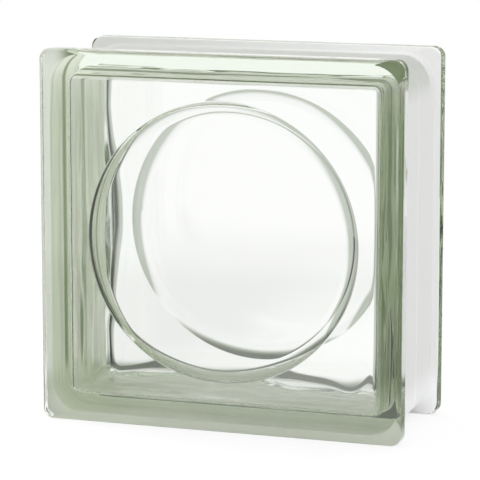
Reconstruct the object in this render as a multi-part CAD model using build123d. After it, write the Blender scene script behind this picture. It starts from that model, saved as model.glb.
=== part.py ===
# Hollow glass block for walls: two pressed halves, fused round the middle into one sealed piece.
# Frame: millimetres, origin at the middle of the underside, +Z up, the front face towards -Y.

import os
from math import atan2, cos, degrees, radians, sin

from build123d import *

# Whole block
block_width = 190.0
block_height = 190.0
block_depth = 80.0

# Rims that frame the two outer faces
rim_thickness = 9.0
rim_corner_radius = 5.5
face_edge_radius = 2.4
rim_inner_edge_radius = 0.8

# Recess round the edge, which takes the mortar and the bars of a wall
recess_depth = 3.3
recess_slope_run = 2.0
recess_corner_radius = 15.0

# Bead where the two halves are fused
seam_width = 1.8
seam_height = 0.5
seam_edge_radius = 0.4

# Sealed cavity: plates behind the outer faces and walls that taper towards the seam
plate_thickness = 10.5
wall_at_plate = 9.6
wall_at_seam = 7.2
cavity_corner_radius = 7.0
cavity_floor_radius = 3.5

# Round recess on the inside of each plate: a flat floor that ends in a hollow curve
window_margin = 11.1
window_curve_radius = 11.3
window_edge_radius = 1.2
window_edge_slope_deg = 40.0

# Sizes that follow from the ones above
half_depth = block_depth / 2
wall_inset_at_plate = recess_depth + wall_at_plate
wall_inset_at_seam = recess_depth + wall_at_seam
rim_back_y = rim_thickness - half_depth
recess_floor_y = rim_back_y + recess_slope_run
plate_back_y = plate_thickness - half_depth
wall_draft_deg = degrees(atan2(wall_inset_at_plate - wall_inset_at_seam, -plate_back_y))
window_radius = min(block_width, block_height) / 2 - wall_inset_at_plate - window_margin
window_floor_radius = window_radius - window_curve_radius * sin(radians(window_edge_slope_deg))
window_depth = window_curve_radius * (1 - cos(radians(window_edge_slope_deg)))
window_floor_y = plate_back_y - window_depth


def upright_plane(y):
    """Plane across the block at depth y, centred on its height, with its own y axis along +Z."""
    return Plane(origin=(0, y, block_height / 2), x_dir=(1, 0, 0), z_dir=(0, -1, 0))


def outline(y, inset, corner_radius):
    """The block's square outline at depth y, drawn in by an inset, with round corners."""
    rectangle = RectangleRounded(block_width - 2 * inset, block_height - 2 * inset, corner_radius)
    return upright_plane(y) * rectangle


def slab(front_y, back_y, inset, corner_radius):
    """Straight slab of one outline between two depths."""
    return extrude(outline(back_y, inset, corner_radius), back_y - front_y)


def edges_at_depth(solid, y):
    """Edges of a solid that lie wholly in the plane across the block at depth y."""
    return solid.edges().filter_by_position(Axis.Y, y, y)


def front_body():
    """Front half of the outside: the rim, the slope behind it and the recess floor up to the seam."""
    rim = slab(-half_depth, rim_back_y, 0, rim_corner_radius)
    slope_outlines = [
        outline(rim_back_y, 0, rim_corner_radius),
        outline(recess_floor_y, recess_depth, recess_corner_radius),
    ]
    slope = loft(slope_outlines, ruled=True)
    floor = slab(recess_floor_y, 0, recess_depth, recess_corner_radius)
    body = rim + slope + floor
    body = fillet(edges_at_depth(body, -half_depth), face_edge_radius)
    return fillet(edges_at_depth(body, rim_back_y), rim_inner_edge_radius)


def seam_bead():
    """Low rounded bead that runs round the recess floor at mid depth."""
    half_width = seam_width / 2
    inset = recess_depth - seam_height
    bead = slab(-half_width, half_width, inset, recess_corner_radius + seam_height)
    rims = edges_at_depth(bead, -half_width) + edges_at_depth(bead, half_width)
    return fillet(rims, seam_edge_radius)


def front_window():
    """Round recess in the front plate, turned about the block's middle axis and carried on to the seam."""
    floor_end = (window_floor_radius, window_floor_y)
    edge = (window_radius, plate_back_y)
    curve = RadiusArc(floor_end, edge, -window_curve_radius)
    sides = Polyline(edge, (window_radius, 0), (0, 0), (0, window_floor_y), floor_end)
    turned = revolve(make_face([curve, sides]), Axis.Y)
    return Pos(0, 0, block_height / 2) * turned


def front_cavity():
    """Front half of the cavity: tapered walls, a rounded floor and the round recess let into the plate."""
    straight = slab(plate_back_y, 0, wall_inset_at_seam, cavity_corner_radius)
    walls = straight.faces().filter_by(Axis.Y, reverse=True)
    cavity = draft(walls, upright_plane(0), wall_draft_deg)
    cavity = fillet(edges_at_depth(cavity, plate_back_y), cavity_floor_radius)
    cavity = cavity + front_window()
    edge = edges_at_depth(cavity, plate_back_y).filter_by(GeomType.CIRCLE).sort_by(Edge.length)[-1]
    return fillet(edge, window_edge_radius)


def with_mirror_image(half):
    """A front half joined to its mirror image behind the seam."""
    return half + mirror(half, about=Plane.XZ)


glass_block = with_mirror_image(front_body()) + seam_bead() - with_mirror_image(front_cavity())

os.makedirs("parts", exist_ok=True)
export_step(glass_block, "parts/glass_block.step")
print("glass_block", len(glass_block.solids()), "solid,", round(glass_block.volume), "cubic mm")
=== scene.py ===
"""Looks of a hollow glass block: tinted clear glass, a white coat in its edge recess, and a pale studio."""

import math

import bpy
import numpy as np
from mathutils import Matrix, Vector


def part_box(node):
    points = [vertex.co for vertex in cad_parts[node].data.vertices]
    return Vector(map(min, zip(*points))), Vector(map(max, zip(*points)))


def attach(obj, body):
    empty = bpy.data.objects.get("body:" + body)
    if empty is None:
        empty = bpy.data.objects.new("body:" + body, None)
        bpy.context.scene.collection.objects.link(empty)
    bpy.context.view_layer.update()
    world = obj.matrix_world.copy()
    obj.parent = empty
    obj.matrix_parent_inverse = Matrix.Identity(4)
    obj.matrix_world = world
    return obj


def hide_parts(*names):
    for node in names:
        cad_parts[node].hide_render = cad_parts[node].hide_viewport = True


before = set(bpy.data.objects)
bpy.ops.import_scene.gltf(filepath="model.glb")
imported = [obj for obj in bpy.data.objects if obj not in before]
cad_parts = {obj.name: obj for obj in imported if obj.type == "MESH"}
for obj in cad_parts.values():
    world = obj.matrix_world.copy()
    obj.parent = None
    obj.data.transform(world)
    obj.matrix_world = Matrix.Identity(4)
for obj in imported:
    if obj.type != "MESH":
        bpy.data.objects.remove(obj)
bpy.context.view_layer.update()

bl_info = {
    "name": "Glass Block",
    "version": (1, 0, 0),
    "blender": (4, 5, 0),
    "location": "View3D > Sidebar > Glass Block",
    "description": "Builds a hollow pressed-glass block and a pale studio around it",
    "category": "Add Mesh",
}

BLOCK_LOW, BLOCK_HIGH = (np.array(corner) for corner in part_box("glass_block"))
BLOCK_CENTRE = (BLOCK_LOW + BLOCK_HIGH) / 2
HALF_WIDTH, HALF_DEPTH, HALF_HEIGHT = (BLOCK_HIGH - BLOCK_LOW) / 2

# Steps of the mesh along each stretch of the section.
FACE_STEPS = 4
FACE_EDGE_STEPS = 10
RIM_STEPS = 3
RIM_BACK_STEPS = 4
SLOPE_STEPS = 2
FOOT_STEPS = 4
RECESS_STEPS = 6
BEAD_STEPS = 5
WINDOW_FLOOR_STEPS = 4
WINDOW_CURVE_STEPS = 19
WINDOW_EDGE_STEPS = 8
PLATE_STEPS = 7
CAVITY_FLOOR_STEPS = 10
WALL_STEPS = 28

# The furthest that the first and last row of a straight stretch lie in from its ends, as a share of it.
CLOSE_ROW_LIMIT = 0.25

# Waves on the inner walls: share of the height, rate over the half depth, and the sines of the bearing that
# shift the phase, each as swing, turns and start.
WALL_WAVES = (
    (0.55, 7, ((1.6, 3, 0.6), (0.9, 8, 2.0))),
    (0.30, 13, ((1.8, 5, 1.1), (0.8, 13, 0.0))),
    (0.15, 22, ((2.2, 4, 2.7),)),
)

# How much higher these waves are on the floor than at the sides, and how much lower under the top.
FLOOR_WAVE_GAIN = 0.8

# Ridges on the inner walls: depth and width in metres, and the sines of the bearing that shift the depth.
WALL_RIDGES = (
    (-0.012, 0.003, ((0.0012, 5, -10.8), (0.0008, 12, 1.9))),
    (0.006, 0.0022, ((0.0018, 5, 5.4), (0.0012, 12, 1.9))),
)

# Swells of the cavity's floor at the rear: place along it from -1 to 1, width and height.
FLOOR_SWELLS = (
    (0.77, 0.06, 1.1),
    (0.63, 0.10, -0.9),
    (0.15, 0.22, 0.6),
    (0.90, 0.05, -0.7),
    (-0.35, 0.15, -0.5),
    (-0.70, 0.20, 0.4),
)

# Sines of the bearing by which the left wall, and the right wall and the top, stray at the rear.
LEFT_STRAY = ((0.8, 4, -math.pi / 2),)
OTHER_STRAY = ((0.3, 9, 0.9),)

# How squarely a bearing points down or left where the floor or the left wall begins, and where it is full.
FACING = (0.6, 0.8)

# Name of the mesh attribute that is 1 on coated faces.
COAT_MARK = "coat"

# Zones of the coat, in metres: where each begins and where it is full. The low and top zones hold painted
# light inside the glass, and the left end of the slopes painted light in place of their painted shade.
PAINTED_LIGHT_UNDERSIDE_HEIGHT = (0.03, 0.01)
TOP_HEIGHT = (0.15, 0.185)
PAINTED_LIGHT_TOP_DEPTH = (0.025, 0.019)
SEAM_DEPTH = (0.005, 0.0025)
PAINTED_LIGHT_SLOPE_PLACE = (-0.08, -0.09)

# Painted shade on the slopes behind the rims, in metres: half of its soft edge, and how far it spreads on
# top.
SLOPE_FADE = 0.0005
TOP_SLOPE_SPREAD = 0.005

# Streaks of painted shade on the coat: how fine they are along each axis, and the noise at which they begin
# and are full.
PAINTED_STREAK_SCALE = (16.0, 170.0, 16.0)
PAINTED_STREAK_NOISE = (0.43, 0.61)

# Parts of the room, as parts of a unit vector: where each begins and where it is full.
SWEEP_WIDTH = (0.34, 0.1)
SWEEP_HEIGHT = (0.4, 0.05)
PANEL_HEIGHT = (0.26, 0.33)
PANEL_WIDTH = (0.6, 0.4)
PALE_RIGHT = (0.85, 0.35)
PALE_LEFT = (-0.65, -0.3)
FRONT = (0.6, 0.9)
FRONT_LEFT = (-0.1, -0.35)

# Brightness at which the room begins to lose its shade, and at which it is white.
WHITE_STRENGTH = (0.6, 0.84)

# Floor: where its painted shade behind the block begins and is full, coming forwards, and the least distance
# at which the glass shows it, in metres. Its rings are shares of its radius.
PAINTED_SHADE_BEHIND = (-0.115, -0.075)
NEAREST_VIEW = 0.05
FLOOR_RINGS = (0.3, 1.0)
FLOOR_STEPS = 96

# Lamps: what they face, where they stand and how large they are, in metres.
LAMP_TARGET = (0.0, 0.0, 0.1)
SOFT_LAMP_PLACE = (0.8, -0.9, 1.1)
SOFT_LAMP_SIZE = 0.8
FILL_PLACE = (-1.0, 0.1, 0.4)
FILL_SIZE = 0.6

# Most bounces of light in clear glass and on matt surfaces.
CLEAR_BOUNCES = 32
MATT_BOUNCES = 16

WHITE = (1.0, 1.0, 1.0, 1.0)
FORWARDS = (0.0, -1.0, 0.0)
UPWARDS = (0.0, 0.0, 1.0)


def length(name, default, description):
    """A size in metres that a user may change."""
    return bpy.props.FloatProperty(
        name=name, description=description, default=default, precision=5, unit="LENGTH")


def number(name, default, description):
    """A plain number that a user may change."""
    return bpy.props.FloatProperty(name=name, description=description, default=default)


def angle(name, degrees, description):
    """An angle that a user may change, given here in degrees."""
    return bpy.props.FloatProperty(
        name=name, description=description, default=math.radians(degrees), subtype="ANGLE")


def colour(name, default, description):
    """A colour that a user may change."""
    return bpy.props.FloatVectorProperty(
        name=name, description=description, default=default, size=3, min=0.0, max=1.0, subtype="COLOR")


class BlockSizes(bpy.types.PropertyGroup):
    """Section of the block."""

    rim_thickness: length("Rim thickness", 0.009, "Depth of the rim that frames each face")
    rim_corner: length("Rim corner radius", 0.0055, "Radius of the face's corners")
    face_edge: length("Face edge radius", 0.0024, "Rounding between a face and its rim")
    rim_back_edge: length("Rim back edge radius", 0.0008, "Rounding between the rim and the slope behind it")
    recess_depth: length("Recess depth", 0.0033, "How far the coated edge lies below the rims")
    recess_slope: length("Recess slope run", 0.002, "Depth over which the rim falls to the recess floor")
    recess_foot: length("Recess foot radius", 0.0012, "Rounding between the slope and the recess floor")
    recess_corner: length("Recess corner radius", 0.015, "Radius of the recess floor's corners")
    seam_width: length("Seam width", 0.0018, "Width of the bead where the halves are fused")
    seam_height: length("Seam height", 0.0005, "Height of the bead where the halves are fused")
    plate: length("Plate thickness", 0.0105, "Thickness of the plates behind the outer faces")
    wall_at_plate: length("Wall at the plate", 0.0096, "Thickness of the side walls beside the plates")
    wall_at_seam: length("Wall at the seam", 0.0072, "Thickness of the side walls at mid depth")
    cavity_corner: length("Cavity corner radius", 0.007, "Radius of the cavity's corners at mid depth")
    cavity_floor: length("Cavity floor radius", 0.0035, "Rounding between the plates and the walls inside")
    window_margin: length("Window margin", 0.0111, "From the cavity's wall to the round recess in a plate")
    window_curve: length("Window curve radius", 0.0113, "Radius of the curve that ends the round recess")
    window_slope: angle("Window slope", 40.0, "Slope of that curve at the recess's edge")
    window_edge: length("Window edge radius", 0.0012, "Rounding between the round recess and the plate")
    wall_ridge: length("Wall ridge", 0.0009, "Height of the low ridges round the inner walls")
    wall_wave: length("Wall wave", 0.0005, "Height of the waves that pressing leaves on the inner walls")
    clean_edge: length("Clean edge", 0.009, "Depth behind the front plate over which the waves begin")
    corner_wander: length("Corner wander", 0.0042, "How far the inner corner behind the rear plate wanders")
    plate_wave: length("Plate wave", 0.00012, "Height of the waves on the plates beside the round recess")


class Finishes(bpy.types.PropertyGroup):
    """Colours and optical values of the glass and of the coat."""

    glass_tint: colour("Glass tint", (0.74, 0.90, 0.64), "Colour that a thick piece of the glass takes on")
    glass_density: number("Tint density", 4.5, "How fast the tint builds up, per metre")
    glass_ior: number("Index of refraction", 1.52, "How strongly the glass bends light")
    coat_colour: colour("Coat colour", (0.88, 0.88, 0.885), "White of the coat in the recess")
    # Colours of the coat from inside the glass. The coat is white: the olive is painted shade with a green
    # cast, the streaks are darker painted shade, and the low and top colours are painted light.
    coat_inside_painted_shade: colour("Coat inside", (0.63, 0.78, 0.47), "Colour of the coat from inside the glass")
    coat_streak_painted_shade: colour("Coat streak", (0.28, 0.36, 0.19), "Darker streaks in the coat from inside the glass")
    coat_under_painted_light: colour("Coat underside", (0.98, 1.0, 0.90), "Colour of the lower coat from inside the glass")
    coat_top_painted_light: colour("Coat top", (0.98, 0.91, 0.96), "Colour of the upper coat from inside the glass")
    coat_through: colour("Coat light", (0.88, 0.91, 0.80), "Colour of the light that the coat lets through")
    # The coat lets more light through on the left than on the right, which lights the inside of the left coat
    # more: painted light.
    coat_light_left: number("Coat light, left", 0.55, "Share of the light let through on the left")
    coat_light_right: number("Coat light, right", 0.23, "Share of the light let through on the right")
    coat_grain: length("Coat grain", 0.0009, "Size of the coat's grains")
    coat_roughness: number("Coat roughness", 0.6, "How matt the coat is")
    # Strength of the painted shade in streaks and of the dark line along the seam, and how much of these and
    # of the painted shade on the slopes the lower coat loses.
    painted_streak_and_seam_share: number("Streak share", 0.85, "How dark the streaks and the line along the seam are")
    painted_streak_loss: number("Streak loss", 0.75, "How much of that is missing on the lower coat")
    painted_slope_shade_loss: number("Slope loss", 0.9, "How much of the slopes' dark is missing on the lower coat")


class Studio(bpy.types.PropertyGroup):
    """Camera, floor and light."""

    azimuth: angle("Camera azimuth", 19.167, "How far the camera stands to the right of the front")
    elevation: angle("Camera elevation", 9.814, "How far the camera looks down")
    distance: length("Camera distance", 1.35072, "From the camera to the point that it looks at")
    lens: number("Lens", 198.98, "Focal length, in millimetres on a 36 mm sensor")
    aim_right: length("Aim right", -0.001633, "From the block's centre to the point looked at, to the right")
    aim_up: length("Aim up", -0.003528, "From the block's centre to the point looked at, upwards")
    floor_radius: length("Floor radius", 0.7, "Size of the round floor, which fades into the white around it")
    floor_colour: colour("Floor colour", (0.86, 0.86, 0.86), "Pale floor")
    floor_white: number("Floor white", 0.75, "Share of plain white that the camera sees at the block")
    floor_reach: length("Floor reach", 0.008, "How far from the block the glass shows the floor's own shade")
    floor_shade: number("Floor shade", 0.8, "How dark the glass shows the floor right behind the block")
    room_shade: colour("Room shade", (0.88, 0.94, 0.83), "Cast of the room's darker parts, in the glass")
    room_light: number("Room light", 0.6, "Brightness of the room beside the white sweep, in the glass")
    far_light: number("Far light", 0.05, "Brightness of the room far to either side, in the glass")
    front_light: number("Front light", 0.5, "Brightness of the room in front on the right, in the glass")
    room_scale: length("Room scale", 0.6, "Distance at which the floor shows what the front of the room does")
    view_width: length("View half width", 0.07, "From the line of sight to where floor shows past an edge")
    ambient: number("Ambient light", 0.85, "Strength of the soft light from all round")
    overhead: number("Overhead light", 0.6, "Strength of the soft light that is added straight above")
    lamp_power: number("Lamp power", 1.8, "Power of the soft lamp in front on the right, in watts")
    fill_power: number("Fill power", 7.0, "Power of the fill lamp on the left, in watts")


class Settings(bpy.types.PropertyGroup):
    """All settings of the block and its studio."""

    sizes: bpy.props.PointerProperty(type=BlockSizes)
    finishes: bpy.props.PointerProperty(type=Finishes)
    studio: bpy.props.PointerProperty(type=Studio)


class Outline:
    """The path round a rounded rectangle, as arrays with one entry for each point on it.

    A point is sign * (half size - radius) + radius * direction: sign runs from -1 to 1 along the straight
    sides and stays at a corner's own signs along its arc, and direction is the way that the outline faces
    there.
    """

    SIDE_STEPS = 64
    CORNER_STEPS = 12

    def __init__(self):
        turn = np.linspace(0.0, math.pi / 2, self.CORNER_STEPS + 1)
        along = 1.0 - 2.0 * np.arange(1, self.SIDE_STEPS) / self.SIDE_STEPS
        arc_direction = np.column_stack([np.cos(turn), np.sin(turn)])
        side_sign = np.column_stack([along, np.ones_like(along)])
        side_direction = np.column_stack([np.zeros_like(along), np.ones_like(along)])
        sign = np.concatenate([np.ones_like(arc_direction), side_sign])
        direction = np.concatenate([arc_direction, side_direction])
        quarter_turn = np.array([[0.0, 1.0], [-1.0, 0.0]])
        turns = [np.linalg.matrix_power(quarter_turn, k) for k in range(4)]
        self.sign = np.concatenate([sign @ t for t in turns])
        self.direction = np.concatenate([direction @ t for t in turns])

    def rectangles(self, inset, radius):
        """Points (row, point, 2) of the block's outline, drawn in by each row's inset, with its corners."""
        half = np.array([HALF_WIDTH, HALF_HEIGHT]) - inset[:, None]
        return (half - radius[:, None])[:, None, :] * self.sign + radius[:, None, None] * self.direction


def rounded(corner, before, after, radius, steps):
    """Rows of an arc in place of a profile's corner, from its last straight point to its next one.

    The first two numbers of a row lie in the plane of the arc. The arc is a rational quadratic curve, which
    is a true circle in that plane: ((1-t)^2 A + 2 w t (1-t) B + t^2 C) over the same sum of weights, where w
    is the cosine of half the turn.
    """
    to_before = (before - corner) / np.linalg.norm((before - corner)[:2])
    to_after = (after - corner) / np.linalg.norm((after - corner)[:2])
    half_turn = math.acos(-np.dot(to_before[:2], to_after[:2])) / 2
    tangent = radius * math.tan(half_turn)
    start = corner + tangent * to_before
    end = corner + tangent * to_after
    t = np.linspace(0.0, 1.0, steps + 1)[:, None]
    weights = (1 - t) ** 2, 2 * math.cos(half_turn) * t * (1 - t), t ** 2
    return (weights[0] * start + weights[1] * corner + weights[2] * end) / sum(weights)


def between(start, end, steps, margin):
    """Rows of the straight stretch between two rows, which it leaves out, with one a margin in from either.

    These close rows keep the shading of the arcs at the ends from running out over the flat between them.
    """
    near = min(margin / np.linalg.norm((end - start)[:2]), CLOSE_ROW_LIMIT)
    t = np.linspace(near, 1.0 - near, steps + 1)[:, None]
    return start + (end - start) * t


def both_halves(grid):
    """A front half (row, point, 3) followed by its mirror image, which shares the row at mid depth."""
    return np.concatenate([grid, grid[-2::-1] * np.array([1.0, -1.0, 1.0])])


def at_depth(points, depth):
    """Points (row, point, 2) across the block, set at each row's depth."""
    y = np.broadcast_to(depth[:, None], points.shape[:2])
    return np.stack([points[..., 0], y, points[..., 1]], axis=-1)


def outside_profile(s):
    """Front half of the outside as rows of (depth, inset, corner radius), from the face to the seam, and the
    first row that wears the coat.

    Straight stretches meet in arcs, and the bead at the seam rises as the square of a cosine over its width.
    """
    rim_back = s.rim_thickness - HALF_DEPTH
    margin = s.face_edge / 8
    front_edge = np.array([-HALF_DEPTH, 0.0, s.rim_corner])
    back_edge = np.array([rim_back, 0.0, s.rim_corner])
    foot = np.array([rim_back + s.recess_slope, s.recess_depth, s.recess_corner])
    bead_side = np.array([-s.seam_width / 2, s.recess_depth, s.recess_corner])
    inside_face = front_edge + np.array([0.0, s.face_edge, -s.face_edge])
    face_arc = rounded(front_edge, inside_face, back_edge, s.face_edge, FACE_EDGE_STEPS)
    back_arc = rounded(back_edge, front_edge, foot, s.rim_back_edge, RIM_BACK_STEPS)
    foot_arc = rounded(foot, back_edge, bead_side, s.recess_foot, FOOT_STEPS)
    bead_depth = np.linspace(-s.seam_width / 2, 0.0, BEAD_STEPS + 1)
    rise = s.seam_height * np.cos(math.pi * bead_depth / s.seam_width) ** 2
    bead = np.column_stack([bead_depth, s.recess_depth - rise, s.recess_corner + rise])
    face_middle = np.array([-HALF_DEPTH, HALF_WIDTH, 0.0])
    bare = np.concatenate([
        between(face_middle, face_arc[0], FACE_STEPS, margin)[1:],
        face_arc,
        between(face_arc[-1], back_arc[0], RIM_STEPS, margin),
        back_arc[:-1],
    ])
    coated = np.concatenate([
        back_arc[-1:],
        between(back_arc[-1], foot_arc[0], SLOPE_STEPS, margin),
        foot_arc,
        between(foot_arc[-1], bead[0], RECESS_STEPS, margin),
        bead,
    ])
    return np.concatenate([bare, coated]), len(bare)


def window_profile(s):
    """Round recess in the front plate as rows of (depth, distance from the axis), from its middle outwards.

    A flat floor ends in a hollow curve, r = r0 + R sin t and depth = plate - R (cos t - cos t1), whose slope
    t grows from 0 to t1 at the edge, and an arc rounds that edge.
    """
    plate_back = s.plate - HALF_DEPTH
    radius = HALF_WIDTH - s.recess_depth - s.wall_at_plate - s.window_margin
    floor_radius = radius - s.window_curve * math.sin(s.window_slope)
    floor_depth = plate_back - s.window_curve * (1 - math.cos(s.window_slope))
    middle = np.array([floor_depth, 0.0])
    floor_end = np.array([floor_depth, floor_radius])
    floor = between(middle, floor_end, WINDOW_FLOOR_STEPS, s.window_edge)[1:]
    slope = np.linspace(0.0, s.window_slope, WINDOW_CURVE_STEPS + 1)
    curve = floor_end + s.window_curve * np.column_stack([1 - np.cos(slope), np.sin(slope)])
    edge = curve[-1]
    along_curve = edge - np.array([math.sin(s.window_slope), math.cos(s.window_slope)]) * s.window_curve
    along_plate = np.array([plate_back, HALF_WIDTH])
    arc = rounded(edge, along_curve, along_plate, s.window_edge, WINDOW_EDGE_STEPS)
    margin = s.window_edge / 12
    return np.concatenate([floor, curve[curve[:, 1] < arc[0, 1] - margin], arc])


def wall_profile(s):
    """Front half of the cavity's walls as rows of (depth, inset, corner radius), from the plate to the seam.

    An arc leads from the plate to a straight wall that tapers towards the seam.
    """
    narrowing = s.wall_at_plate - s.wall_at_seam
    margin = s.cavity_floor / 12
    seam = np.array([0.0, s.recess_depth + s.wall_at_seam, s.cavity_corner])
    corner = np.array([s.plate - HALF_DEPTH, seam[1] + narrowing, s.cavity_corner - narrowing])
    floor = corner + np.array([0.0, s.cavity_floor, -s.cavity_floor])
    arc = rounded(corner, floor, seam, s.cavity_floor, CAVITY_FLOOR_STEPS)
    wall = between(arc[-1], seam, WALL_STEPS, margin)
    return np.concatenate([arc, wall, [seam]])


def sines(turn, terms):
    """Sum of sines of the bearing, each given as swing, turns and start."""
    return sum(swing * np.sin(turns * turn + start) for swing, turns, start in terms)


def bell(offset, width):
    """Bell curve, exp(-(offset / width)^2), which is 1 in its middle."""
    return np.exp(-(offset / width) ** 2)


def waves(turn, depth):
    """Waves (row, point) that pressing leaves inside the block, between -1 and 1 at the sides.

    Each is a sine over the depth, so that its crests run along the walls. Its phase wanders by sines of the
    bearing, and it is strongest on the floor and weakest under the top.
    """
    drift = depth[:, None] / HALF_DEPTH
    ripple = sum(share * np.sin(rate * drift + sines(turn, shifts)) for share, rate, shifts in WALL_WAVES)
    return ripple * (1.0 - FLOOR_WAVE_GAIN * np.sin(turn))


def ridges(turn, depth):
    """Low ridges (row, point), about 1 high, that run round the inner walls.

    Each is a bell curve over the depth, whose middle wanders by two sines of the bearing.
    """
    return sum(bell(depth[:, None] - centre - sines(turn, shifts), width)
               for centre, width, shifts in WALL_RIDGES)


def wander(turn, depth, reach):
    """How far (row, point) the walls stray outwards towards the rear plate, about between -1 and 1.

    It grows as the cube of the depth from mid depth to its full size at the given reach. The left wall is
    thick at half height and thin at its ends, the floor has swells that are bell curves along it, and the
    other walls have a slight sine of the bearing.
    """
    rear = np.clip(depth / reach, 0.0, 1.0)[:, None] ** 3
    floor = np.interp(-np.sin(turn), FACING, (0.0, 1.0))
    left = np.interp(-np.cos(turn), FACING, (0.0, 1.0))
    other = np.clip(1.0 - floor - left, 0.0, 1.0)
    along = np.cos(turn) / np.maximum(np.abs(np.sin(turn)), FACING[0])
    swell = sum(height * bell(along - place, width) for place, width, height in FLOOR_SWELLS)
    return rear * (sines(turn, OTHER_STRAY) * other + sines(turn, LEFT_STRAY) * left - swell * floor)


def outside_grid(outline, s):
    """The outside of the block as a grid (row, point, 3): the outline carried along the section's profile."""
    profile, first_coated = outside_profile(s)
    front = at_depth(outline.rectangles(profile[:, 1], profile[:, 2]), profile[:, 0])
    return both_halves(front), first_coated


def cavity_grid(outline, s):
    """The inside of the block as a grid (row, point, 3): a round recess, a flat plate that runs from its edge
    to the square wall, and the wall, with waves on the plate and the wall.

    The waves on the wall begin behind the front plate, so that its inner edge stays clean.
    """
    window = window_profile(s)
    wall = wall_profile(s)
    wall_points = outline.rectangles(wall[:, 1], wall[:, 2])
    bearing = wall_points[0] / np.linalg.norm(wall_points[0], axis=-1, keepdims=True)
    window_points = window[:, 1, None, None] * bearing
    blend = np.linspace(0.0, 1.0, PLATE_STEPS + 1)[1:-1]
    plate_points = window_points[-1] + (wall_points[0] - window_points[-1]) * blend[:, None, None]
    depth = np.concatenate([window[:, 0], np.full(len(blend), window[-1, 0]), wall[:, 0]])
    grid = both_halves(at_depth(np.concatenate([window_points, plate_points, wall_points]), depth))
    sideways = np.concatenate([np.zeros(len(window)), blend, np.ones(len(wall))])
    forwards = np.concatenate([np.zeros(len(window)), np.sin(math.pi * blend), np.zeros(len(wall))])
    sideways = np.concatenate([sideways, sideways[-2::-1]])[:, None]
    forwards = np.concatenate([forwards, forwards[-2::-1]])[:, None]
    turn = np.arctan2(bearing[:, 1], bearing[:, 0])
    depth = grid[:, 0, 1]
    inner_half = HALF_DEPTH - s.plate
    begun = np.clip((depth + inner_half) / s.clean_edge, 0.0, 1.0)[:, None]
    wave = waves(turn, depth)
    stray = s.wall_wave * begun * wave - s.wall_ridge * ridges(turn, depth)
    stray = sideways * (stray + s.corner_wander * wander(turn, depth, inner_half))
    grid[..., 1] += s.plate_wave * forwards * wave
    grid[..., 0] += stray * outline.direction[:, 0]
    grid[..., 2] += stray * outline.direction[:, 1]
    return grid


def closed_surface(grid, outwards):
    """Vertices, faces and each face's row for a grid of rings, closed at the ends by fans to their middles.

    The outline turns from +X to +Z and the rows run towards +Y, so faces made in that order look into the
    block.
    """
    rows, count = grid.shape[:2]
    here = np.arange(rows * count).reshape(rows, count)
    onward = np.roll(here, -1, axis=1)
    quads = np.stack([here[:-1], onward[:-1], onward[1:], here[1:]], axis=-1).reshape(-1, 4)
    first, last = rows * count, rows * count + 1
    start_fan = np.column_stack([onward[0], here[0], np.full(count, first)])
    end_fan = np.column_stack([here[-1], onward[-1], np.full(count, last)])
    vertices = np.concatenate([grid.reshape(-1, 3), [grid[0].mean(axis=0)], [grid[-1].mean(axis=0)]])
    row = np.concatenate([np.repeat(np.arange(rows - 1), count), np.zeros(count), np.full(count, rows - 1)])
    faces = quads.tolist() + start_fan.tolist() + end_fan.tolist()
    if outwards:
        faces = [face[::-1] for face in faces]
    return vertices, faces, row


def mesh_object(name, vertices, faces, material):
    """A smooth mesh object at the origin, with its place in its vertices."""
    mesh = bpy.data.meshes.new(name)
    mesh.from_pydata(vertices, [], faces)
    mesh.materials.append(material)
    mesh.polygons.foreach_set("use_smooth", np.ones(len(faces), dtype=bool))
    mesh.update()
    piece = bpy.data.objects.new(name, mesh)
    bpy.context.scene.collection.objects.link(piece)
    return piece


class Wire:
    """One value in a node tree. Arithmetic on wires and numbers adds Math nodes."""

    def __init__(self, graph, socket):
        self.graph = graph
        self.socket = socket

    def math(self, operation, first, second=0.0):
        return self.graph.node("ShaderNodeMath", {"operation": operation}, {0: first, 1: second})

    def __add__(self, other):
        return self.math("ADD", self, other)

    def __radd__(self, other):
        return self.math("ADD", other, self)

    def __sub__(self, other):
        return self.math("SUBTRACT", self, other)

    def __rsub__(self, other):
        return self.math("SUBTRACT", other, self)

    def __mul__(self, other):
        return self.math("MULTIPLY", self, other)

    def __rmul__(self, other):
        return self.math("MULTIPLY", other, self)

    def __truediv__(self, other):
        return self.math("DIVIDE", self, other)

    def __rtruediv__(self, other):
        return self.math("DIVIDE", other, self)

    def __abs__(self):
        return self.math("ABSOLUTE", self)

    def sign(self):
        return self.math("SIGN", self)

    def larger(self, other):
        return self.math("MAXIMUM", self, other)

    def fade(self, start, end):
        """0 at the start and 1 at the end, with a smooth rise between them."""
        return self.graph.node("ShaderNodeMapRange", {"interpolation_type": "SMOOTHSTEP"}, {
            "Value": self, "From Min": start, "From Max": end})

    def along(self, axis):
        """Part of a vector along an axis."""
        return self.graph.node(
            "ShaderNodeVectorMath", {"operation": "DOT_PRODUCT"}, {0: self, 1: axis}, "Value")


class Graph:
    """The node tree of a material or a world, emptied and ready for new nodes."""

    def __init__(self, owner):
        owner.use_nodes = True
        self.tree = owner.node_tree
        self.tree.nodes.clear()

    def node(self, kind, settings=None, sockets=None, output=0):
        """Adds a node, sets it up, fills or links its sockets and returns one of its outputs."""
        node = self.tree.nodes.new(kind)
        for name, value in (settings or {}).items():
            setattr(node, name, value)
        for name, value in (sockets or {}).items():
            if isinstance(value, Wire):
                self.tree.links.new(value.socket, node.inputs[name])
            else:
                node.inputs[name].default_value = value
        return Wire(self, node.outputs[output]) if len(node.outputs) else None

    def mixed(self, share, first, second):
        """A colour that goes from the first to the second as the share goes from 0 to 1."""
        return self.node("ShaderNodeMixRGB", None, {"Fac": share, "Color1": first, "Color2": second})


def opaque(rgb):
    """A colour with full alpha."""
    return (*rgb, 1.0)


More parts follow.
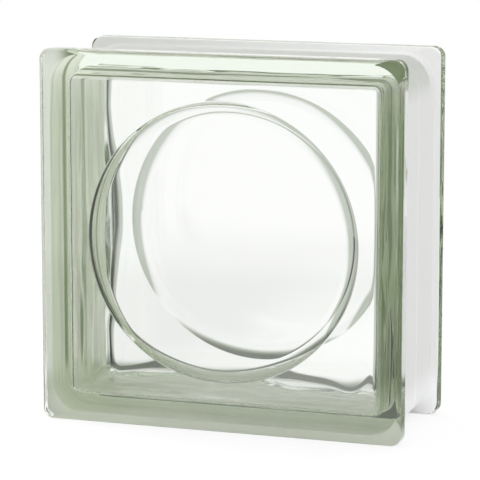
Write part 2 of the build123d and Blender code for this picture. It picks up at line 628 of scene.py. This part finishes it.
def coat_layer(graph, look, s):
    """White coat with a fine grain that lets part of the light through.

    From inside the glass it is olive, a painted shade, with darker streaks of painted shade; a pinkish white
    on top and a pale colour low down are painted light. It is dark along the seam, and has painted shade on
    the slopes behind the rims except on the left, where the slopes are painted white as painted light and let
    light through.
    """
    place = graph.node("ShaderNodeTexCoord", None, None, "Object")
    sideways, depth, height = (
        graph.node("ShaderNodeSeparateXYZ", None, {"Vector": place}, axis) for axis in "XYZ")
    depth = abs(depth)
    grain = graph.node("ShaderNodeTexNoise", None, {
        "Vector": place, "Scale": 1.0 / look.coat_grain, "Detail": 3.0, "Roughness": 0.6})
    relief = graph.node("ShaderNodeBump", None, {
        "Height": grain, "Strength": 0.5, "Distance": look.coat_grain / 3})

    # Painted light inside the glass: the coat is pale low down and pinkish white on top near the rims.
    underside_painted_light = height.fade(*PAINTED_LIGHT_UNDERSIDE_HEIGHT)
    top = height.fade(*TOP_HEIGHT)
    top_painted_light = top * depth.fade(*PAINTED_LIGHT_TOP_DEPTH)
    # Painted shade on the slopes behind the rims, weaker on the lower coat; on the left they get painted
    # light instead.
    slope_foot = HALF_DEPTH - s.rim_thickness - s.recess_slope
    slope = (depth + TOP_SLOPE_SPREAD * top).fade(slope_foot - SLOPE_FADE, slope_foot + SLOPE_FADE)
    slope = slope * (1.0 - look.painted_slope_shade_loss * underside_painted_light)
    slope_painted_light = slope * sideways.fade(*PAINTED_LIGHT_SLOPE_PLACE)
    # Streaks of painted shade from inside the glass, and a dark line along the seam, both weaker on the lower
    # coat, with no streaks on top.
    stretched = graph.node("ShaderNodeVectorMath", {"operation": "MULTIPLY"}, {0: place, 1: PAINTED_STREAK_SCALE})
    streaks = graph.node("ShaderNodeTexNoise", None, {"Vector": stretched, "Scale": 1.0, "Detail": 2.0})
    streaks = graph.node("ShaderNodeMapRange", None, {
        "Value": streaks, "From Min": PAINTED_STREAK_NOISE[0], "From Max": PAINTED_STREAK_NOISE[1]})
    streak_and_seam_shade = look.painted_streak_and_seam_share - look.painted_streak_loss * underside_painted_light
    seam = depth.fade(*SEAM_DEPTH) * streak_and_seam_shade
    dark = (streaks * streak_and_seam_shade * (1.0 - top_painted_light)).larger(slope).larger(seam)

    # Colour from inside the glass: olive painted shade, painted light low down and on top, streaks of painted
    # shade, and painted light on the left slopes.
    inner = graph.mixed(underside_painted_light, opaque(look.coat_inside_painted_shade), opaque(look.coat_under_painted_light))
    inner = graph.mixed(top_painted_light, inner, opaque(look.coat_top_painted_light))
    inner = graph.mixed(dark, inner, opaque(look.coat_streak_painted_shade))
    inner = graph.mixed(slope_painted_light, inner, opaque(look.coat_colour))
    from_inside = graph.node("ShaderNodeNewGeometry", None, None, "Backfacing")
    matt = graph.node("ShaderNodeBsdfPrincipled", None, {
        "Base Color": graph.mixed(from_inside, opaque(look.coat_colour), inner),
        "Roughness": look.coat_roughness,
        "Normal": relief,
    })
    light_through = graph.node("ShaderNodeBsdfTranslucent", None, {"Color": opaque(look.coat_through)})
    # The share falls from left to right, so the coat is lighter inside on the left: painted light. The top
    # lets through as much as the left.
    share = graph.node("ShaderNodeMapRange", None, {
        "Value": sideways, "From Min": -HALF_WIDTH, "From Max": HALF_WIDTH,
        "To Min": look.coat_light_left, "To Max": look.coat_light_right})
    blocked = underside_painted_light.larger((slope - slope_painted_light).larger(seam) * from_inside)
    share = share.larger(top_painted_light * look.coat_light_left) * (1.0 - blocked)
    return graph.node("ShaderNodeMixShader", None, {0: share, 1: matt, 2: light_through})


def coated_glass(look, s):
    """Smooth clear glass whose green tint builds up with thickness, under the coat where its mark is 1.

    Both are one material, because the tint inside the glass has to end wherever light leaves it.
    """
    material = bpy.data.materials.new("coated_glass")
    graph = Graph(material)
    glass = graph.node("ShaderNodeBsdfPrincipled", None, {
        "Base Color": WHITE,
        "Roughness": 0.0,
        "IOR": look.glass_ior,
        "Transmission Weight": 1.0,
    })
    mark = graph.node("ShaderNodeAttribute", {"attribute_name": COAT_MARK}, None, "Fac")
    surface = graph.node("ShaderNodeMixShader", None, {0: mark, 1: glass, 2: coat_layer(graph, look, s)})
    inside = graph.node("ShaderNodeVolumeAbsorption", None, {
        "Color": opaque(look.glass_tint),
        "Density": look.glass_density,
    })
    graph.node("ShaderNodeOutputMaterial", None, {"Surface": surface, "Volume": inside})
    return material


class GLASSBLOCK_OT_block(bpy.types.Operator):
    """Build the block: clear glass round a sealed cavity, coated white in the recess round its edge"""

    bl_idname = "glass_block.block"
    bl_label = "Glass block"

    def execute(self, context):
        settings = context.scene.glass_block
        outline = Outline()
        outside, first_coated = outside_grid(outline, settings.sizes)
        cavity = cavity_grid(outline, settings.sizes)
        outside_vertices, outside_faces, row = closed_surface(outside, True)
        cavity_vertices, cavity_faces, _ = closed_surface(cavity, False)
        cavity_faces = [[index + len(outside_vertices) for index in face] for face in cavity_faces]
        last_coated = len(outside) - 1 - first_coated
        coated = (row >= first_coated) & (row < last_coated)
        vertices = np.concatenate([outside_vertices, cavity_vertices]) + BLOCK_CENTRE
        material = coated_glass(settings.finishes, settings.sizes)
        piece = mesh_object("block", vertices, outside_faces + cavity_faces, material)
        mark = piece.data.attributes.new(COAT_MARK, "FLOAT", "FACE")
        mark.data.foreach_set("value", np.concatenate([coated, np.zeros(len(cavity_faces))]))
        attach(piece, "root")
        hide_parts("glass_block")
        return {"FINISHED"}


class RayKind:
    """What a ray in a node tree is: straight from the camera, seen in the clear glass, or soft light."""

    def __init__(self, graph):
        self.camera = self.light_path(graph, "Is Camera Ray")
        glossy = self.light_path(graph, "Is Glossy Ray")
        clear = glossy.larger(self.light_path(graph, "Is Transmission Ray"))
        self.in_glass = (clear - self.light_path(graph, "Diffuse Depth")).larger(0.0)

    @staticmethod
    def light_path(graph, output):
        """One output of a Light Path node."""
        return graph.node("ShaderNodeLightPath", None, None, output)


def rightwards(azimuth):
    """Level unit vector to the right of the line of sight."""
    return (math.cos(azimuth), math.sin(azimuth), 0.0)


def away(azimuth):
    """Level unit vector along the line of sight, away from the camera."""
    return (-math.sin(azimuth), math.cos(azimuth), 0.0)


def room_light(aside, forwards, upwards, look):
    """Brightness of the room as the glass shows it, in a direction given by its three parts.

    A white sweep runs along the line of sight, low down, and a white panel stands above it. Beside them the
    room is pale, and it is dark far to either side. The front is white low down on the left and grey
    elsewhere.
    """
    low = upwards.fade(*SWEEP_HEIGHT)
    sweep = abs(aside).fade(*SWEEP_WIDTH) * low
    panel = upwards.fade(*PANEL_HEIGHT) * abs(aside).fade(*PANEL_WIDTH)
    pale = aside.fade(*PALE_RIGHT) * aside.fade(*PALE_LEFT)
    pale = look.far_light + pale * (look.room_light - look.far_light)
    front = forwards.fade(*FRONT)
    front_left = front * aside.fade(*FRONT_LEFT) * low
    around = sweep.larger(pale).larger(panel) * (1.0 - front)
    return around.larger(front_left).larger(front * look.front_light)


def room_colour(graph, strength, look):
    """White where the room is bright, and its shade where it is dark."""
    return graph.mixed(strength.fade(*WHITE_STRENGTH), opaque(look.room_shade), WHITE)


def floor_finish(look):
    """Pale floor that shows almost white to the camera and as the room in glass, and still takes a shadow.

    Close to the block the glass shows the floor's own shade, and right behind the block a painted shade.
    Elsewhere a point of the floor shows the room at the angle under which it is seen past the block.
    """
    material = bpy.data.materials.new("pale_floor")
    graph = Graph(material)
    ray = RayKind(graph)
    place = graph.node("ShaderNodeTexCoord", None, None, "Object")
    outside = graph.node("ShaderNodeVectorMath", {"operation": "ABSOLUTE"}, {0: place})
    outside = graph.node("ShaderNodeVectorMath", {"operation": "SUBTRACT"}, {
        0: outside, 1: (HALF_WIDTH, HALF_DEPTH, 0.0)})
    outside = graph.node("ShaderNodeVectorMath", {"operation": "MAXIMUM"}, {0: outside, 1: (0.0, 0.0, 0.0)})
    distance = graph.node("ShaderNodeVectorMath", {"operation": "LENGTH"}, {0: outside}, "Value")
    beside = graph.node("ShaderNodeMapRange", None, {"Value": distance, "From Max": look.floor_reach})
    to_white = graph.node("ShaderNodeMapRange", None, {
        "Value": distance, "From Max": look.floor_radius - 2 * HALF_WIDTH, "To Min": look.floor_white})
    glow = (ray.camera * to_white).larger(ray.in_glass * beside)

    forwards = place.along(FORWARDS)
    offset = place.along(rightwards(look.azimuth))
    beyond = abs(place.along(away(look.azimuth))) - HALF_DEPTH
    past_edge = (abs(offset) - look.view_width).larger(0.0)
    aside = offset.sign() * past_edge / beyond.larger(NEAREST_VIEW)
    room = room_light(aside, forwards / look.room_scale, place.along(UPWARDS), look)
    # Painted shade on the floor right behind the block, as the glass shows it.
    behind = forwards.fade(0.0, -HALF_DEPTH) * forwards.fade(*PAINTED_SHADE_BEHIND)
    strength = ray.camera.larger(room * (1.0 - look.floor_shade * behind))
    shown = graph.node("ShaderNodeMixRGB", {"blend_type": "MULTIPLY"}, {
        "Fac": 1.0, "Color1": room_colour(graph, strength, look), "Color2": strength})
    white = graph.node("ShaderNodeEmission", None, {"Color": shown, "Strength": 1.0})
    matt = graph.node("ShaderNodeBsdfDiffuse", None, {"Color": opaque(look.floor_colour)})
    surface = graph.node("ShaderNodeMixShader", None, {0: glow, 1: matt, 2: white})
    graph.node("ShaderNodeOutputMaterial", None, {"Surface": surface})
    return material


def studio_world(look):
    """Soft white light from all round, stronger from above.

    To the camera it shows as plain white, and in glass as the room.
    """
    world = bpy.data.worlds.new("studio")
    bpy.context.scene.world = world
    graph = Graph(world)
    ray = RayKind(graph)
    direction = graph.node("ShaderNodeTexCoord", None, None, "Generated")
    aside = direction.along(rightwards(look.azimuth))
    upwards = direction.along(UPWARDS)
    room = room_light(aside, direction.along(FORWARDS), upwards, look)
    soft = (1.0 - ray.camera.larger(ray.in_glass)) * (look.ambient + look.overhead * upwards.larger(0.0))
    strength = ray.camera.larger(ray.in_glass * room) + soft
    light = graph.node("ShaderNodeBackground", None, {
        "Color": room_colour(graph, strength, look), "Strength": strength})
    graph.node("ShaderNodeOutputWorld", None, {"Surface": light})


def look_at(back):
    """Turn of a lamp or camera whose back faces along a vector, with its top upwards."""
    x, y, z = back / np.linalg.norm(back)
    return (math.acos(z), 0.0, math.atan2(x, -y))


def add_lamp(name, location, size, power):
    """A square soft lamp that faces the block."""
    data = bpy.data.lights.new(name, "AREA")
    data.size = size
    data.energy = power
    lamp = bpy.data.objects.new(name, data)
    bpy.context.scene.collection.objects.link(lamp)
    lamp.location = location
    lamp.rotation_euler = look_at(np.array(location) - np.array(LAMP_TARGET))
    return lamp


class GLASSBLOCK_OT_stage(bpy.types.Operator):
    """Set up the pale floor, the soft light and the camera"""

    bl_idname = "glass_block.stage"
    bl_label = "Studio"

    def execute(self, context):
        scene = context.scene
        look = scene.glass_block.studio
        self.add_floor(look)
        studio_world(look)
        add_lamp("soft_lamp", SOFT_LAMP_PLACE, SOFT_LAMP_SIZE, look.lamp_power)
        fill = add_lamp("left_fill", FILL_PLACE, FILL_SIZE, look.fill_power)
        fill.visible_glossy = False
        fill.visible_transmission = False
        self.place_camera(scene, look)
        scene.view_settings.view_transform = "Standard"
        scene.cycles.max_bounces = CLEAR_BOUNCES
        scene.cycles.diffuse_bounces = MATT_BOUNCES
        scene.cycles.transmission_bounces = CLEAR_BOUNCES
        scene.cycles.glossy_bounces = CLEAR_BOUNCES
        return {"FINISHED"}

    def add_floor(self, look):
        """A round level floor: a disc inside a ring, both from one circle of points."""
        turn = np.linspace(0.0, 2 * math.pi, FLOOR_STEPS, endpoint=False)
        circle = np.column_stack([np.cos(turn), np.sin(turn), np.zeros_like(turn)]) * look.floor_radius
        here = np.arange(FLOOR_STEPS)
        onward = np.roll(here, -1)
        vertices = np.concatenate([circle * share for share in FLOOR_RINGS])
        ring = np.column_stack([here, here + FLOOR_STEPS, onward + FLOOR_STEPS, onward])
        floor = mesh_object("floor", vertices, [here.tolist()] + ring.tolist(), floor_finish(look))

    def place_camera(self, scene, look):
        """Camera at its azimuth and elevation from a point near the block's centre."""
        level = math.cos(look.elevation)
        back = math.sin(look.elevation) * np.array(UPWARDS) - level * np.array(away(look.azimuth))
        right = np.array(rightwards(look.azimuth))
        up = np.cross(back, right)
        target = BLOCK_CENTRE + look.aim_right * right + look.aim_up * up
        data = bpy.data.cameras.new("camera")
        data.lens = look.lens
        camera = bpy.data.objects.new("camera", data)
        scene.collection.objects.link(camera)
        camera.location = target + look.distance * back
        camera.rotation_euler = look_at(back)
        scene.camera = camera


class GLASSBLOCK_PT_panel(bpy.types.Panel):
    """Lists the steps that build the block and its studio"""

    bl_label = "Glass Block"
    bl_idname = "GLASSBLOCK_PT_panel"
    bl_space_type = "VIEW_3D"
    bl_region_type = "UI"
    bl_category = "Glass Block"

    def draw(self, context):
        for operator in (GLASSBLOCK_OT_block, GLASSBLOCK_OT_stage):
            self.layout.operator(operator.bl_idname)


CLASSES = (
    BlockSizes,
    Finishes,
    Studio,
    Settings,
    GLASSBLOCK_OT_block,
    GLASSBLOCK_OT_stage,
    GLASSBLOCK_PT_panel,
)


def register():
    """Make the classes and the scene's settings known."""
    for cls in CLASSES:
        bpy.utils.register_class(cls)
    bpy.types.Scene.glass_block = bpy.props.PointerProperty(type=Settings)


def unregister():
    """Take the classes and the scene's settings away again."""
    del bpy.types.Scene.glass_block
    for cls in reversed(CLASSES):
        bpy.utils.unregister_class(cls)


def main():
    """Build the block and its studio in order."""
    register()
    bpy.ops.glass_block.block()
    bpy.ops.glass_block.stage()


if __name__ == "__main__":
    main()
